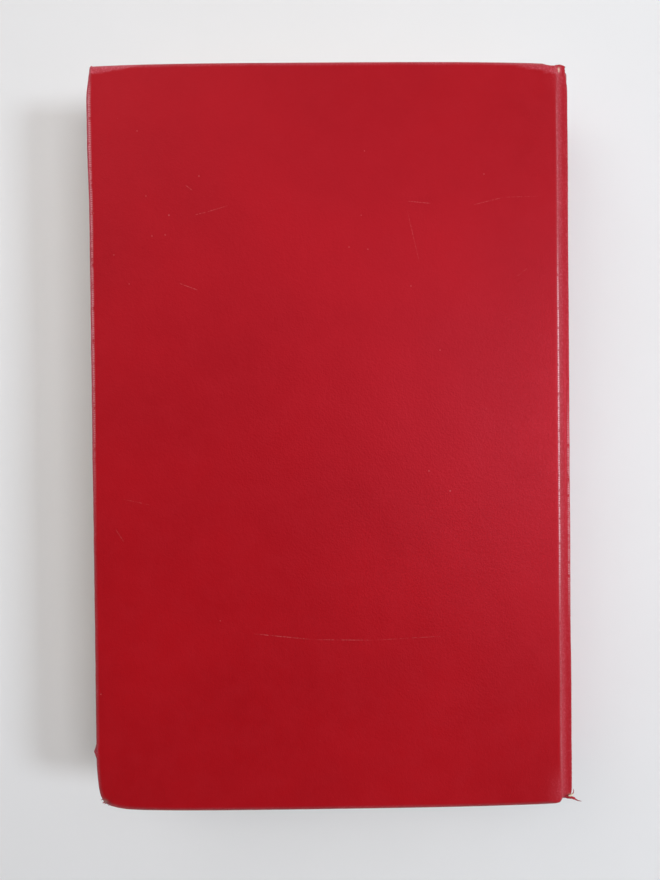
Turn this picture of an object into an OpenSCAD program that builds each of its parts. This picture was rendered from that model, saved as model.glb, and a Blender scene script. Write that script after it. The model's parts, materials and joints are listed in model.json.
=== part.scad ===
// Hardback book, case bound: a rounded and backed text block of sixteen sewn
// sections between two cloth-covered boards, lying on its front cover.
// +X points from the fore-edge to the spine, +Y to the head, +Z up.
// The origin is the centre of the footprint, on the outside of the front cover.

/* [Book] */
// Height of the covers, along the spine
cover_h = 222; // [190:1:240]
// Width from the covers' fore-edge to the crown of the spine
book_w = 146; // [125:1:160]
// Thickness over both covers
book_t = 33; // [30:0.5:36]
// How far the covers stand past the leaves at head, tail and fore-edge
square_w = 3; // [2:0.5:4]

/* [Case] */
// Thickness of the covering cloth
cloth_t = 0.3; // [0.25:0.05:0.4]
// Thickness of each binder's board
board_t = 2.5; // [2:0.1:2.8]
// Width of the cloth turned in over the boards' inner faces
turn_in = 15; // [12:1:18]
// Width of the board's hinge edge set back from the crown of the spine
joint_set = 7; // [6.8:0.1:7.4]
// Width of the mull flaps under the pastedowns
mull_flap = 30; // [24:1:36]

/* [Spine] */
// Rise of the rounded spine over its shoulders
round_rise = 3.5; // [3.3:0.1:3.6]
// Thickness of the card that stiffens the spine
inlay_t = 0.45; // [0.35:0.05:0.5]
// Thickness of the head and tail bands
band_h = 1.4; // [1:0.1:1.8]

/* [Leaves] */
// Thickness of one free endpaper
fly_t = 0.2; // [0.15:0.05:0.2]
// Distance of the first bend of the leaves from the joint edge of the boards
bend_set = 1.4; // [1.4:0.1:2]

/* [Hidden] */
$fn = 96;
e = 0.01;

// Case
x0 = -book_w / 2;                 // fore-edge of the covers
xb = book_w / 2 - joint_set;      // hinge edge of the covers
hy = cover_h / 2;                 // half height of the covers
mid = book_t / 2;                 // middle plane between the covers
in_t = 0.3;                       // turned-in cloth
past_t = 0.2;                     // pastedown over the turn-ins
cover_t = cloth_t + board_t + in_t + past_t;
corner_r = 1.6;                   // plan radius of the covers' corners

// Text block
n = 16;
leaf_h = cover_h - 2 * square_w;
fly_gap = 0.05;
blk0 = cover_t + fly_gap + fly_t + fly_gap;   // lower face of section 1
pitch = (book_t - 2 * blk0) / n;
sec_gap = 0.02;
sec_t = pitch - sec_gap;

// Rounded spine: every layer is an arc about one axis
xs = book_w / 2 - round_rise;                 // outside of the shoulders
zs = mid - (cover_t + 0.9);                   // half width of the round
ro = (zs * zs + round_rise * round_rise) / (2 * round_rise);
cx = book_w / 2 - ro;
r_inlay = ro - cloth_t;
r_turn = r_inlay - inlay_t;
r_line = r_turn - 0.35;
r_mull = r_line - 0.19;
r_glue = r_mull - 0.23;
r_fold = r_glue - 0.17;                       // crowns of the folds

// Hinges
hinge_x = xb + 1.9;
hinge_z = book_t - 2.1;                       // back cover; the front one mirrors it
bend_x = xb - bend_set;                       // first bend of the leaves
bend_step = 0.6;
thread_r = 0.17;

function z_low(i) = blk0 + (i - 1) * pitch + sec_gap / 2;
function fold_x(i) = cx + sqrt(pow(r_fold - sec_t / 2, 2) - pow(z_low(i) + sec_t / 2 - mid, 2));
leaf_w = fold_x(n) + sec_t / 2 - (x0 + square_w);
function fore_x(i) = fold_x(i) + sec_t / 2 - leaf_w;
// the bend of a section that opens: the outermost bends nearest to the spine
function bend_of(i) = bend_x - bend_step * min(i - 1, n - i);

// ---- helpers -------------------------------------------------------------

// Stands an x-z outline up along the book's height, from y = a to y = b
module along(a, b) translate([0, b, 0]) rotate([90, 0, 0]) linear_extrude(b - a) children();

// The back cover's pieces, mirrored for the front cover
module flip(front) {
  if (front) translate([0, 0, book_t]) mirror([0, 0, 1]) children();
  else children();
}

// The same in an x-z outline
module shoulder(front) {
  if (front) translate([0, book_t]) mirror([0, 1]) children();
  else children();
}

// Outline of a cover seen from above, rounded a little at its fore-edge corners
module cover_plan(inset, r) {
  xa = x0 + inset;
  xc = xb - inset;
  ya = hy - inset;
  union() {
    translate([xa + r, -ya]) square([xc - xa - r, 2 * ya]);
    translate([xa, -ya + r]) square([xc - xa, 2 * ya - 2 * r]);
    for (s = [-1, 1]) translate([xa + r, s * (ya - r)]) circle(r);
  }
}

// Arc band about the spine's axis between two radii, within half width h
module arc_band(r1, r2, h) {
  intersection() {
    translate([cx, mid]) difference() { circle(r2, $fn = 180); circle(r1, $fn = 180); }
    translate([cx + r1 / 2, mid - h]) square([ro, 2 * h]);
  }
}

// ---- case ----------------------------------------------------------------

module board(front) flip(front)
  translate([0, 0, book_t - cloth_t - board_t]) linear_extrude(board_t) cover_plan(cloth_t, corner_r - cloth_t);

module cover_cloth(front) flip(front) difference() {
  translate([0, 0, book_t - cloth_t - board_t - in_t])
    linear_extrude(cloth_t + board_t + in_t) cover_plan(0, corner_r);
  translate([0, 0, book_t - cloth_t - board_t])
    linear_extrude(board_t) cover_plan(cloth_t, corner_r - cloth_t);
  // inside of the turn-ins, open towards the joint
  translate([x0 + turn_in, -hy + turn_in, book_t - cloth_t - board_t - in_t - 1])
    cube([book_w, cover_h - 2 * turn_in, in_t + 1]);
}

module pastedown(front) flip(front) difference() {
  union() {
    translate([x0 + square_w, -leaf_h / 2, book_t - cover_t]) cube([xb - x0 - square_w - 0.1, leaf_h, past_t]);
    translate([x0 + turn_in + 0.1, -hy + turn_in + 0.1, book_t - cover_t])
      cube([xb - x0 - turn_in - 0.2, cover_h - 2 * turn_in - 0.2, past_t + in_t]);
  }
  translate([xb - mull_flap - 0.1, -hy + turn_in + 0.4, book_t - cover_t + 0.28]) cube([mull_flap + 1, cover_h - 2 * turn_in - 0.8, 1]);
}

module mull_flap(front) flip(front)
  translate([xb - mull_flap, -hy + turn_in + 0.5, book_t - cover_t + 0.29])
    cube([mull_flap - 0.15, cover_h - 2 * turn_in - 1, 0.2]);

// Cloth over the groove between a board and the spine
module joint_cloth(front) flip(front)
  along(-hy + 0.2, hy - 0.2) translate([xb + 0.15, hinge_z - cloth_t + 0.1]) square([xs - 0.9 - xb - 0.17, cloth_t]);

// Endpaper where it turns from the flyleaf, round the gutter, to the pastedown
module endpaper_joint(front) flip(front) along(-leaf_h / 2, leaf_h / 2) union() {
  zf = book_t - blk0 + fly_gap;
  translate([bend_x + 0.4, zf]) square([2.2, fly_t]);
  translate([bend_x + 2.4, zf]) square([0.2, 0.85]);
  translate([xb + 0.3, zf + 0.65]) square([bend_x + 2.6 - xb - 0.3, fly_t]);
}

module spine_cloth() {
  along(-hy, hy) union() {
    arc_band(r_inlay, ro, zs);
    for (front = [false, true]) shoulder(front) {
      // side of the shoulder, then the return into the groove
      translate([xs - cloth_t, mid + zs - 0.05]) square([cloth_t, hinge_z + 0.15 - mid - zs]);
      translate([xs - 0.9, hinge_z + 0.1 - cloth_t]) square([0.9, cloth_t]);
    }
  }
  // turned in over the ends of the spine card
  for (s = [-1, 1]) {
    along(s > 0 ? hy - cloth_t : -hy, s > 0 ? hy : -hy + cloth_t) arc_band(r_turn - in_t, r_inlay + e, zs - 0.6);
    along(s > 0 ? hy - turn_in : -hy, s > 0 ? hy : -hy + turn_in) arc_band(r_turn - in_t, r_turn, zs - 0.6);
  }
}

module spine_inlay() along(-hy + cloth_t, hy - cloth_t) arc_band(r_turn, r_inlay, zs - 0.4);

// ---- text block ----------------------------------------------------------

// Leaves of a section from its fore-edge to x = xe, straight there
module leaves(i, xe) along(-leaf_h / 2, leaf_h / 2)
  translate([fore_x(i), z_low(i)]) square([xe - fore_x(i), sec_t]);

// Folded back of a section from x = xa to its rounded fold
module fold(i, xa) along(-leaf_h / 2, leaf_h / 2) union() {
  translate([xa, z_low(i)]) square([fold_x(i) - xa, sec_t]);
  translate([fold_x(i), z_low(i) + sec_t / 2]) circle(sec_t / 2, $fn = 48);
}

// A section that opens bends near its fold, so its leaves and its fold part there
module sig_leaves(i) leaves(i, bend_of(i));
module sig_fold(i) fold(i, bend_of(i) + 0.1);
module sig_whole(i) fold(i, fore_x(i));

module flyleaf(front) flip(front)
  translate([x0 + square_w, -leaf_h / 2, book_t - blk0 + fly_gap])
    cube([bend_x - 4 - x0 - square_w, leaf_h, fly_t]);

// Chain and kettle stitches in the grooves between the folds
module sewing_thread()
  for (y = [-98, -60, -20, 20, 60, 98] * leaf_h / 216, i = [1 : n - 1]) {
    dx = fold_x(i + 1) - fold_x(i);
    d = sqrt(dx * dx + pitch * pitch);
    // just clear of both folds, on the outer side of the line between them
    off = sqrt(pow(sec_t / 2 + thread_r + 0.04, 2) - d * d / 4);
    translate([fold_x(i) + dx / 2 + off * pitch / d, y - 3, z_low(i) + sec_t / 2 + pitch / 2 - off * dx / d])
      rotate([-90, 0, 0]) cylinder(r = thread_r, h = 6, $fn = 24);
  }

module spine_glue() along(-leaf_h / 2 + 0.5, leaf_h / 2 - 0.5) arc_band(r_glue - 0.14, r_glue, mid - blk0 - 0.6);

module spine_mull() along(-leaf_h / 2 + 10, leaf_h / 2 - 10) union() {
  arc_band(r_mull - 0.2, r_mull, mid - blk0 - 0.3);
  xm = cx + sqrt(pow(r_mull - 0.1, 2) - pow(mid - blk0 - 0.3, 2));
  for (front = [false, true]) shoulder(front) {
    // over the shoulder and out to the board
    translate([xm - 0.1, book_t - blk0 - 0.5]) square([0.2, 1.65]);
    translate([xb + 0.3, book_t - blk0 + 0.95]) square([xm - 0.2 - xb, 0.2]);
  }
}

module spine_lining() along(-leaf_h / 2 + 1, leaf_h / 2 - 1) arc_band(r_line - 0.17, r_line, mid - blk0 - 0.3);

// Worked band stuck to the end of the spine, its bead standing on the leaves
module end_band(s) {
  y0 = s > 0 ? leaf_h / 2 + 0.02 : -leaf_h / 2 - band_h;
  along(y0, y0 + band_h - 0.02) arc_band(r_fold - 1.5, r_line, mid - blk0 - 1);
}

// ---- nodes ---------------------------------------------------------------

module front_board() color([0.62, 0.56, 0.45]) board(true);
module back_board() color([0.62, 0.56, 0.45]) board(false);
module front_cover_cloth() color([0.66, 0.09, 0.13]) cover_cloth(true);
module back_cover_cloth() color([0.66, 0.09, 0.13]) cover_cloth(false);
module front_joint_cloth() color([0.66, 0.09, 0.13]) joint_cloth(true);
module back_joint_cloth() color([0.66, 0.09, 0.13]) joint_cloth(false);
module front_pastedown() color([0.93, 0.90, 0.83]) pastedown(true);
module back_pastedown() color([0.93, 0.90, 0.83]) pastedown(false);
module front_endpaper_joint() color([0.93, 0.90, 0.83]) endpaper_joint(true);
module back_endpaper_joint() color([0.93, 0.90, 0.83]) endpaper_joint(false);
module front_flyleaf() color([0.93, 0.90, 0.83]) flyleaf(true);
module back_flyleaf() color([0.93, 0.90, 0.83]) flyleaf(false);
module front_mull_flap() color([0.90, 0.88, 0.80]) mull_flap(true);
module back_mull_flap() color([0.90, 0.88, 0.80]) mull_flap(false);

module paper() color([0.92, 0.88, 0.78]) children();
module signature_01() paper() sig_leaves(1);
module signature_01_fold() paper() sig_fold(1);
module signature_02() paper() sig_leaves(2);
module signature_02_fold() paper() sig_fold(2);
module signature_03() paper() sig_leaves(3);
module signature_03_fold() paper() sig_fold(3);
module signature_04() paper() sig_whole(4);
module signature_05() paper() sig_whole(5);
module signature_06() paper() sig_whole(6);
module signature_07() paper() sig_whole(7);
module signature_08() paper() sig_whole(8);
module signature_09() paper() sig_whole(9);
module signature_10() paper() sig_whole(10);
module signature_11() paper() sig_whole(11);
module signature_12() paper() sig_whole(12);
module signature_13() paper() sig_whole(13);
module signature_14() paper() sig_leaves(14);
module signature_14_fold() paper() sig_fold(14);
module signature_15() paper() sig_leaves(15);
module signature_15_fold() paper() sig_fold(15);
module signature_16() paper() sig_leaves(16);
module signature_16_fold() paper() sig_fold(16);

front_board();
back_board();
color([0.75, 0.70, 0.58]) spine_inlay();
front_cover_cloth();
back_cover_cloth();
color([0.66, 0.09, 0.13]) spine_cloth();
front_joint_cloth();
back_joint_cloth();
front_pastedown();
back_pastedown();
front_endpaper_joint();
back_endpaper_joint();
front_flyleaf();
back_flyleaf();
front_mull_flap();
back_mull_flap();
color([0.90, 0.88, 0.80]) spine_mull();
color([0.70, 0.58, 0.42]) spine_lining();
color([0.90, 0.86, 0.70]) spine_glue();
color([0.95, 0.94, 0.90]) sewing_thread();
color([0.94, 0.92, 0.86]) end_band(1);  // head_band
color([0.94, 0.92, 0.86]) end_band(-1);  // tail_band
signature_01();
signature_01_fold();
signature_02();
signature_02_fold();
signature_03();
signature_03_fold();
signature_04();
signature_05();
signature_06();
signature_07();
signature_08();
signature_09();
signature_10();
signature_11();
signature_12();
signature_13();
signature_14();
signature_14_fold();
signature_15();
signature_15_fold();
signature_16();
signature_16_fold();
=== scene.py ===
import bpy
import json
import math
import numpy as np
from mathutils import Matrix, Vector, noise as mnoise
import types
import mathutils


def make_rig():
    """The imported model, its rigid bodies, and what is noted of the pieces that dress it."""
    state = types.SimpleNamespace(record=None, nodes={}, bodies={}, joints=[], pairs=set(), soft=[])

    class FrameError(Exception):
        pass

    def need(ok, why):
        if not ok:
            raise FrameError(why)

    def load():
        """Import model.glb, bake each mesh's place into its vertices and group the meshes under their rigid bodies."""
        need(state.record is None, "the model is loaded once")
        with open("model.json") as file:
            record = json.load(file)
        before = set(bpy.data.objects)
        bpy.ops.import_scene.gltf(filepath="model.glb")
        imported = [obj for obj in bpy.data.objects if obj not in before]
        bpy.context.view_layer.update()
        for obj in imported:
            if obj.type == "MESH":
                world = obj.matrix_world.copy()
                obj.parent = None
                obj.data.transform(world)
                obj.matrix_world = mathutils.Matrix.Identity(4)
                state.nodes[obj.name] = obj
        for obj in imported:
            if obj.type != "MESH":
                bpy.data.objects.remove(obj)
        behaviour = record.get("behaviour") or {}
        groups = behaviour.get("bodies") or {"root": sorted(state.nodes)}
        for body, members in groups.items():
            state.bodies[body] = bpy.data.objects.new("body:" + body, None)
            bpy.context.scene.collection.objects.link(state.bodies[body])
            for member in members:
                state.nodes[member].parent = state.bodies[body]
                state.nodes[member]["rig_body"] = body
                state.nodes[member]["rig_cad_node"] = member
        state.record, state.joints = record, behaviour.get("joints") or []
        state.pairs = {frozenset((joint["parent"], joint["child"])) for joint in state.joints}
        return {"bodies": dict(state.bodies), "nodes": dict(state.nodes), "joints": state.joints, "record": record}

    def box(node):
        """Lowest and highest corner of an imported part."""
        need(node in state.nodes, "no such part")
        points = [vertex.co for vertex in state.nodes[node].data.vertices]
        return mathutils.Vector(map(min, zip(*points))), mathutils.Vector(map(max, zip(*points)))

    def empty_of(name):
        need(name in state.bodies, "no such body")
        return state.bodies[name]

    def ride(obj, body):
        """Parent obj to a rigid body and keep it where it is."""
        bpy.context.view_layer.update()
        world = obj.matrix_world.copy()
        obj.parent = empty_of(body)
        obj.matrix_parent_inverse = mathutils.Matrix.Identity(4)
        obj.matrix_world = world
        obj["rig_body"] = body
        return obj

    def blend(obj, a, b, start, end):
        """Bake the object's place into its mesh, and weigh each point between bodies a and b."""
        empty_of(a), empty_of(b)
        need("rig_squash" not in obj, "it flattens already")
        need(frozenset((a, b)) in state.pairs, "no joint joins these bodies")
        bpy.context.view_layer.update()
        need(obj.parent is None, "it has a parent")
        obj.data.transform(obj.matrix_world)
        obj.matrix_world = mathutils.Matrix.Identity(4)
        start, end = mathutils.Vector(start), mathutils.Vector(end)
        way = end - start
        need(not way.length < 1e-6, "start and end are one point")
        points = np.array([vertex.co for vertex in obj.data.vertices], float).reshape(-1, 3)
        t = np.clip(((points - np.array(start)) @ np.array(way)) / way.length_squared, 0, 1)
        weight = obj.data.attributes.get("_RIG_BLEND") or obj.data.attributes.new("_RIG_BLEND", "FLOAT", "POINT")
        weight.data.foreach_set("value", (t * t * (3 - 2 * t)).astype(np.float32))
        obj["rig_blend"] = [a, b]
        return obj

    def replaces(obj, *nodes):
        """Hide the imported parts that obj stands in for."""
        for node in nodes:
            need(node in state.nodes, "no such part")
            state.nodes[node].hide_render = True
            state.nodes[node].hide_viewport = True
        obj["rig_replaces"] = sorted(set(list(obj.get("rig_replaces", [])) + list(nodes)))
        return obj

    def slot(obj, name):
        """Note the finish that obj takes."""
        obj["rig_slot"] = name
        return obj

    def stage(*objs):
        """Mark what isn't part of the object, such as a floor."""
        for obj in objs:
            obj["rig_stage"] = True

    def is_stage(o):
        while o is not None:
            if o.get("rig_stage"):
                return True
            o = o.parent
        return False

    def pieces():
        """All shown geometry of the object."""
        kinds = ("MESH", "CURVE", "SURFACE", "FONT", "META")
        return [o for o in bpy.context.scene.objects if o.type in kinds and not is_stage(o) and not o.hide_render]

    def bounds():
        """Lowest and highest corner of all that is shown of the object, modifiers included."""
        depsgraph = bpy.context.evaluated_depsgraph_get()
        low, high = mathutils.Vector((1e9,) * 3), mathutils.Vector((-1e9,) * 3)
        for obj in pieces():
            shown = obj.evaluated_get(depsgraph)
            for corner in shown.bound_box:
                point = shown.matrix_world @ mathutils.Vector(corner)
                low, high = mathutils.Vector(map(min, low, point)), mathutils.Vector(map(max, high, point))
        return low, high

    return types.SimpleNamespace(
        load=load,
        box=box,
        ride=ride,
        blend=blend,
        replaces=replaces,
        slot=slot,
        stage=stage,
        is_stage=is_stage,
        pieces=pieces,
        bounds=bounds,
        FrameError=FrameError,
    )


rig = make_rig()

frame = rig.load()
CAD_BOX = [list(v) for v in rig.bounds()]

# ------------------------------------------------------------------ sizes, in mm, all from the frame
LO, HI = [np.array(v) * 1000 for v in CAD_BOX]
_c = [np.array(v) * 1000 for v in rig.box("back_cover_cloth")]
X0, XB = _c[0][0], _c[1][0]            # fore-edge and hinge edge of the covers
HY, TOP = HI[1], HI[2]                 # half height, thickness
MIDZ = TOP / 2
ZIN = _c[0][2]                         # inner face of the back cover's turn-ins
J = {j["name"]: j for j in frame["joints"]}
_ax = J["back_cover_hinge"]["pos_m"]
AX, AZ = _ax[0] * 1000, _ax[2] * 1000  # axis of the back cover's joint
_l = [np.array(v) * 1000 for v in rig.box("signature_08")]
LEAF_Y = _l[1][1]
SEC_T = _l[1][2] - _l[0][2]
RNG = np.random.default_rng(7)


def sm(t):
    t = np.clip(t, 0, 1)
    return t * t * (3 - 2 * t)


def fbm(x, y, z=0.0, s=1.0, o=3):
    """Smooth noise at points in mm, s is the size of its largest features."""
    x, y, z = np.broadcast_arrays(np.asarray(x, float), np.asarray(y, float), np.asarray(z, float))
    out = np.empty(x.size)
    for k, (a, b, c) in enumerate(zip(x.ravel() / s, y.ravel() / s, z.ravel() / s)):
        out[k] = mnoise.fractal(Vector((a, b, c)), 0.9, 2.1, o, noise_basis="PERLIN_ORIGINAL")
    return out.reshape(x.shape)


# ------------------------------------------------------------------ node helpers
def mat(name):
    m = bpy.data.materials.new(name)
    m.use_nodes = True
    nt = m.node_tree
    nt.nodes.clear()
    out = nt.nodes.new("ShaderNodeOutputMaterial")
    bs = nt.nodes.new("ShaderNodeBsdfPrincipled")
    nt.links.new(bs.outputs[0], out.inputs[0])
    return m, nt, bs


class N:
    """A few words for building node trees."""

    def __init__(self, nt):
        self.nt = nt

    def put(self, sock, v):
        if hasattr(v, "is_output"):
            self.nt.links.new(v, sock)
        elif v is not None:
            sock.default_value = v

    def math(self, op, a, b=None, c=None, clamp=False):
        n = self.nt.nodes.new("ShaderNodeMath")
        n.operation, n.use_clamp = op, clamp
        for i, v in enumerate((a, b, c)):
            self.put(n.inputs[i], v)
        return n.outputs[0]

    def vmath(self, op, a, b=None, scale=None):
        n = self.nt.nodes.new("ShaderNodeVectorMath")
        n.operation = op
        self.put(n.inputs[0], a)
        if b is not None:
            self.put(n.inputs[1], b)
        if scale is not None:
            self.put(n.inputs[3], scale)
        return n.outputs["Value"] if op in ("LENGTH", "DISTANCE", "DOT_PRODUCT") else n.outputs[0]

    def noise(self, vec, scale, detail=3.0, rough=0.55, dist=0.0):
        n = self.nt.nodes.new("ShaderNodeTexNoise")
        self.put(n.inputs["Vector"], vec)
        n.inputs["Scale"].default_value = scale
        n.inputs["Detail"].default_value = detail
        n.inputs["Roughness"].default_value = rough
        n.inputs["Distortion"].default_value = dist
        return n.outputs["Fac"]

    def voronoi(self, vec, scale, feature="F1", rand=1.0):
        n = self.nt.nodes.new("ShaderNodeTexVoronoi")
        n.feature = feature
        self.put(n.inputs["Vector"], vec)
        n.inputs["Scale"].default_value = scale
        n.inputs["Randomness"].default_value = rand
        return n.outputs["Distance"]

    def ramp(self, fac, *stops):
        n = self.nt.nodes.new("ShaderNodeValToRGB")
        self.put(n.inputs[0], fac)
        e = n.color_ramp.elements
        while len(e) < len(stops):
            e.new(0.5)
        for k, (p, c) in enumerate(stops):
            e[k].position = p
            e[k].color = (c, c, c, 1) if isinstance(c, (int, float)) else (*c, 1)
        return n.outputs[0]

    def range(self, v, a, b, c=0.0, d=1.0):
        n = self.nt.nodes.new("ShaderNodeMapRange")
        self.put(n.inputs[0], v)
        for i, x in enumerate((a, b, c, d)):
            self.put(n.inputs[1 + i], x)
        return n.outputs[0]

    def mix(self, fac, a, b, blend="MIX"):
        n = self.nt.nodes.new("ShaderNodeMix")
        n.data_type, n.blend_type = "RGBA", blend
        self.put(n.inputs[0], fac)
        for sock, v in ((n.inputs[6], a), (n.inputs[7], b)):
            if isinstance(v, tuple) and len(v) == 3:
                v = (*v, 1)
            self.put(sock, v)
        return n.outputs[2]

    def attr(self, name, out="Fac"):
        n = self.nt.nodes.new("ShaderNodeAttribute")
        n.attribute_name = name
        return n.outputs[out]

    def coord(self):
        n = self.nt.nodes.new("ShaderNodeTexCoord")
        return n.outputs["Object"]

    def scalev(self, vec, v):
        n = self.nt.nodes.new("ShaderNodeMapping")
        self.put(n.inputs[0], vec)
        n.inputs["Scale"].default_value = v
        return n.outputs[0]

    def xyz(self, vec):
        n = self.nt.nodes.new("ShaderNodeSeparateXYZ")
        self.put(n.inputs[0], vec)
        return n.outputs

    def bump(self, height, strength, dist, normal=None):
        n = self.nt.nodes.new("ShaderNodeBump")
        n.inputs["Strength"].default_value = strength
        n.inputs["Distance"].default_value = dist
        self.put(n.inputs["Height"], height)
        if normal is not None:
            self.put(n.inputs["Normal"], normal)
        return n.outputs[0]


def segment(n, p, a, b):
    """Distance in metres from p to the straight line between a and b (both in mm, seen from above)."""
    a, b = np.array([*a, 0.0]) / 1000, np.array([*b, 0.0]) / 1000
    ba = b - a
    pa = n.vmath("SUBTRACT", p, tuple(a))
    h = n.math("MULTIPLY", n.vmath("DOT_PRODUCT", pa, tuple(ba)), 1 / float(ba @ ba), clamp=True)
    near = n.vmath("SCALE", tuple(ba), scale=h)
    return n.vmath("LENGTH", n.vmath("SUBTRACT", pa, near)), h


# ------------------------------------------------------------------ materials
RED = (0.357, 0.0036, 0.0070)


def cloth_material(name, scratches=True):
    m, nt, bs = mat(name)
    n = N(nt)
    p = n.attr("rest_co", "Vector")
    x, y, z = n.xyz(p)
    flat = n.vmath("MULTIPLY", p, (1.0, 1.0, 0.0))
    # crinkled coating: small irregular cells, broken up by finer noise
    warp = n.vmath("ADD", p, n.vmath("SCALE", n.vmath("MULTIPLY", (1.0, 1.0, 1.0), n.noise(p, 700.0, 2.0)), scale=0.0004))
    cells = n.voronoi(warp, 1950.0, "SMOOTH_F1")
    fine = n.noise(p, 2600.0, 3.0, 0.6)
    crinkle = n.noise(p, 1650.0, 3.0, 0.62, 0.6)
    thread = n.noise(n.scalev(p, (1.0, 0.45, 1.0)), 1900.0, 2.0, 0.5)
    grain = n.math("ADD", n.math("MULTIPLY", cells, 0.55), n.math("MULTIPLY", crinkle, 0.9))
    grain = n.math("ADD", grain, n.math("MULTIPLY", fine, 0.35))
    grain = n.math("ADD", grain, n.math("MULTIPLY", thread, 0.35))
    broad = n.noise(p, 26.0, 4.0, 0.55)
    mottled = n.noise(p, 150.0, 4.0, 0.6)
    # red, a little uneven where it has been handled
    col = n.mix(n.range(broad, 0.35, 0.68), (RED[0] * 0.93, RED[1] * 0.9, RED[2] * 0.92), (RED[0] * 1.05, RED[1] * 1.15, RED[2] * 1.1))
    col = n.mix(n.range(mottled, 0.42, 0.75, 0.0, 0.35), col, (RED[0] * 1.06, RED[1] * 1.9, RED[2] * 1.7))
    col = n.mix(n.range(grain, 0.75, 1.35, 0.16, 0.0), col, (RED[0] * 0.72, RED[1] * 0.5, RED[2] * 0.6))
    # wear and painted highlight: the coating rubbed pale on the crests along edges, and painted lighter along the
    # ridges and edges where they catch the light
    wear_and_highlight = n.attr("wear_and_highlight")
    crest = n.range(grain, 1.0, 1.42)
    rub_and_highlight = n.math("MULTIPLY", wear_and_highlight, n.math("ADD", 0.34, n.math("MULTIPLY", crest, 0.9)), clamp=True)
    col = n.mix(n.math("MULTIPLY", rub_and_highlight, 0.72), col, (0.78, 0.17, 0.23))
    # painted highlight: glints on the tops of single threads along the ridges, painted near white where they catch the
    # light
    beat = n.math("SINE", n.math("ADD", n.math("MULTIPLY", y, 2 * math.pi / 0.00056), n.math("MULTIPLY", n.noise(p, 420.0, 2.0), 10.0)))
    tops = n.math("MULTIPLY", n.range(beat, -0.55, 0.35, 0.38, 1.0), n.range(n.noise(p, 700.0, 2.0), 0.30, 0.48))
    painted_glints = n.math("MULTIPLY", n.attr("painted_glints"), tops, clamp=True)
    col = n.mix(painted_glints, col, (0.93, 0.62, 0.67))
    bare = n.math("MULTIPLY", n.attr("bare"), n.range(n.noise(p, 900.0, 3.0), 0.36, 0.52), clamp=True)
    col = n.mix(bare, col, (0.80, 0.71, 0.56))
    # darker where the darkening attribute is set, broken up by noise
    darkening = n.math("MULTIPLY", n.attr("darkening"), n.range(n.noise(p, 420.0, 3.0), 0.35, 0.62), clamp=True)
    col = n.mix(n.math("MULTIPLY", darkening, 0.75), col, (0.085, 0.012, 0.016))
    height = grain
    gloss = n.range(grain, 0.8, 1.5, 0.49, 0.36)
    if scratches:
        marks = None
        lines = [
            ((-42.1, 66.3), (-38.5, 67.1), 0.13, 0.55), ((-38.5, 67.1), (-31.4, 69.2), 0.12, 0.5),
            ((-46.8, 46.2), (-41.2, 44.1), 0.15, 0.7), ((-44.6, 75.2), (-42.3, 73.4), 0.14, 0.5),
            ((20.7, 70.0), (28.5, 69.2), 0.12, 0.5), ((21.0, 67.6), (24.7, 51.3), 0.11, 0.33),
            ((40.3, 68.6), (49.9, 70.9), 0.12, 0.4), ((49.9, 70.9), (60.6, 71.1), 0.12, 0.33),
            ((53.6, 47.4), (57.0, 50.0), 0.22, 0.2), ((-26.0, -58.2), (-8.0, -60.2), 0.14, 0.6),
            ((-8.0, -60.2), (10.0, -60.6), 0.13, 0.5), ((10.0, -60.6), (31.2, -59.6), 0.12, 0.35),
            ((-64.6, -17.6), (-56.0, -19.5), 0.16, 0.3), ((-66.5, -26.5), (-64.0, -30.5), 0.18, 0.4),
        ]
        for a, b, w, s in lines:
            d, h = segment(n, flat, a, b)
            k = n.range(d, 0.0, w / 1000, s, 0.0)
            ends = n.math("MULTIPLY", n.math("MULTIPLY", h, n.math("SUBTRACT", 1.0, h)), 6.0, clamp=True)
            k = n.math("MULTIPLY", k, ends)
            marks = k if marks is None else n.math("MAXIMUM", marks, k)
        # only on the outer face of the upper cover
        top = n.range(z, (TOP - 0.4) / 1000, (TOP - 0.15) / 1000)
        marks = n.math("MULTIPLY", n.math("MULTIPLY", marks, top), n.range(crinkle, 0.38, 0.62))
        for a, w, s in [((-58.6, 91.2), .4, .3), ((-56.2, 72.0), .3, .5), ((-49.5, 66.3), .35, .6), ((-54.6, 60.2), .42, .3), ((-50.7, 60.5), .3, .5),
                        ((-40.5, 77.8), .28, .8), ((-65.9, 54.7), .3, .45), ((-61.5, 46.1), .3, .4), ((44.0, 77.8), .28, .8), ((3.7, 56.5), .28, .6),
                        ((9.3, 55.8), .3, .55), ((22.0, 44.8), .28, .6), ((7.4, 65.9), .28, .45), ((30.5, 25.7), .26, .6), ((26.9, -10.2), .35, .55)]:
            d = n.vmath("DISTANCE", flat, (a[0] / 1000, a[1] / 1000, 0.0))
            marks = n.math("MAXIMUM", marks, n.range(d, w * 0.0002, w * 0.00072, s, 0.0))
        specks = n.voronoi(flat, 130.0, "F1")
        specks = n.math("MULTIPLY", n.range(specks, 0.018, 0.030, 0.6, 0.0), n.range(n.noise(flat, 34.0, 1.0), 0.52, 0.60))
        marks = n.math("MAXIMUM", marks, n.math("MULTIPLY", specks, top))
        col = n.mix(n.math("MULTIPLY", marks, 0.55), col, (0.74, 0.28, 0.29))
        height = n.math("SUBTRACT", height, n.math("MULTIPLY", marks, 0.5))
    nt.links.new(col, bs.inputs["Base Color"])
    rough = n.math("ADD", gloss, n.math("MULTIPLY", rub_and_highlight, 0.12))
    rough = n.math("ADD", rough, n.math("MULTIPLY", n.range(mottled, 0.3, 0.8, -0.03, 0.05), 1.0))
    nt.links.new(rough, bs.inputs["Roughness"])
    bs.inputs["Specular IOR Level"].default_value = 0.58
    bs.inputs["Specular Tint"].default_value = (1.0, 0.13, 0.21, 1)
    bs.inputs["Coat Weight"].default_value = 0.0
    bs.inputs["Sheen Weight"].default_value = 0.03
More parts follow.
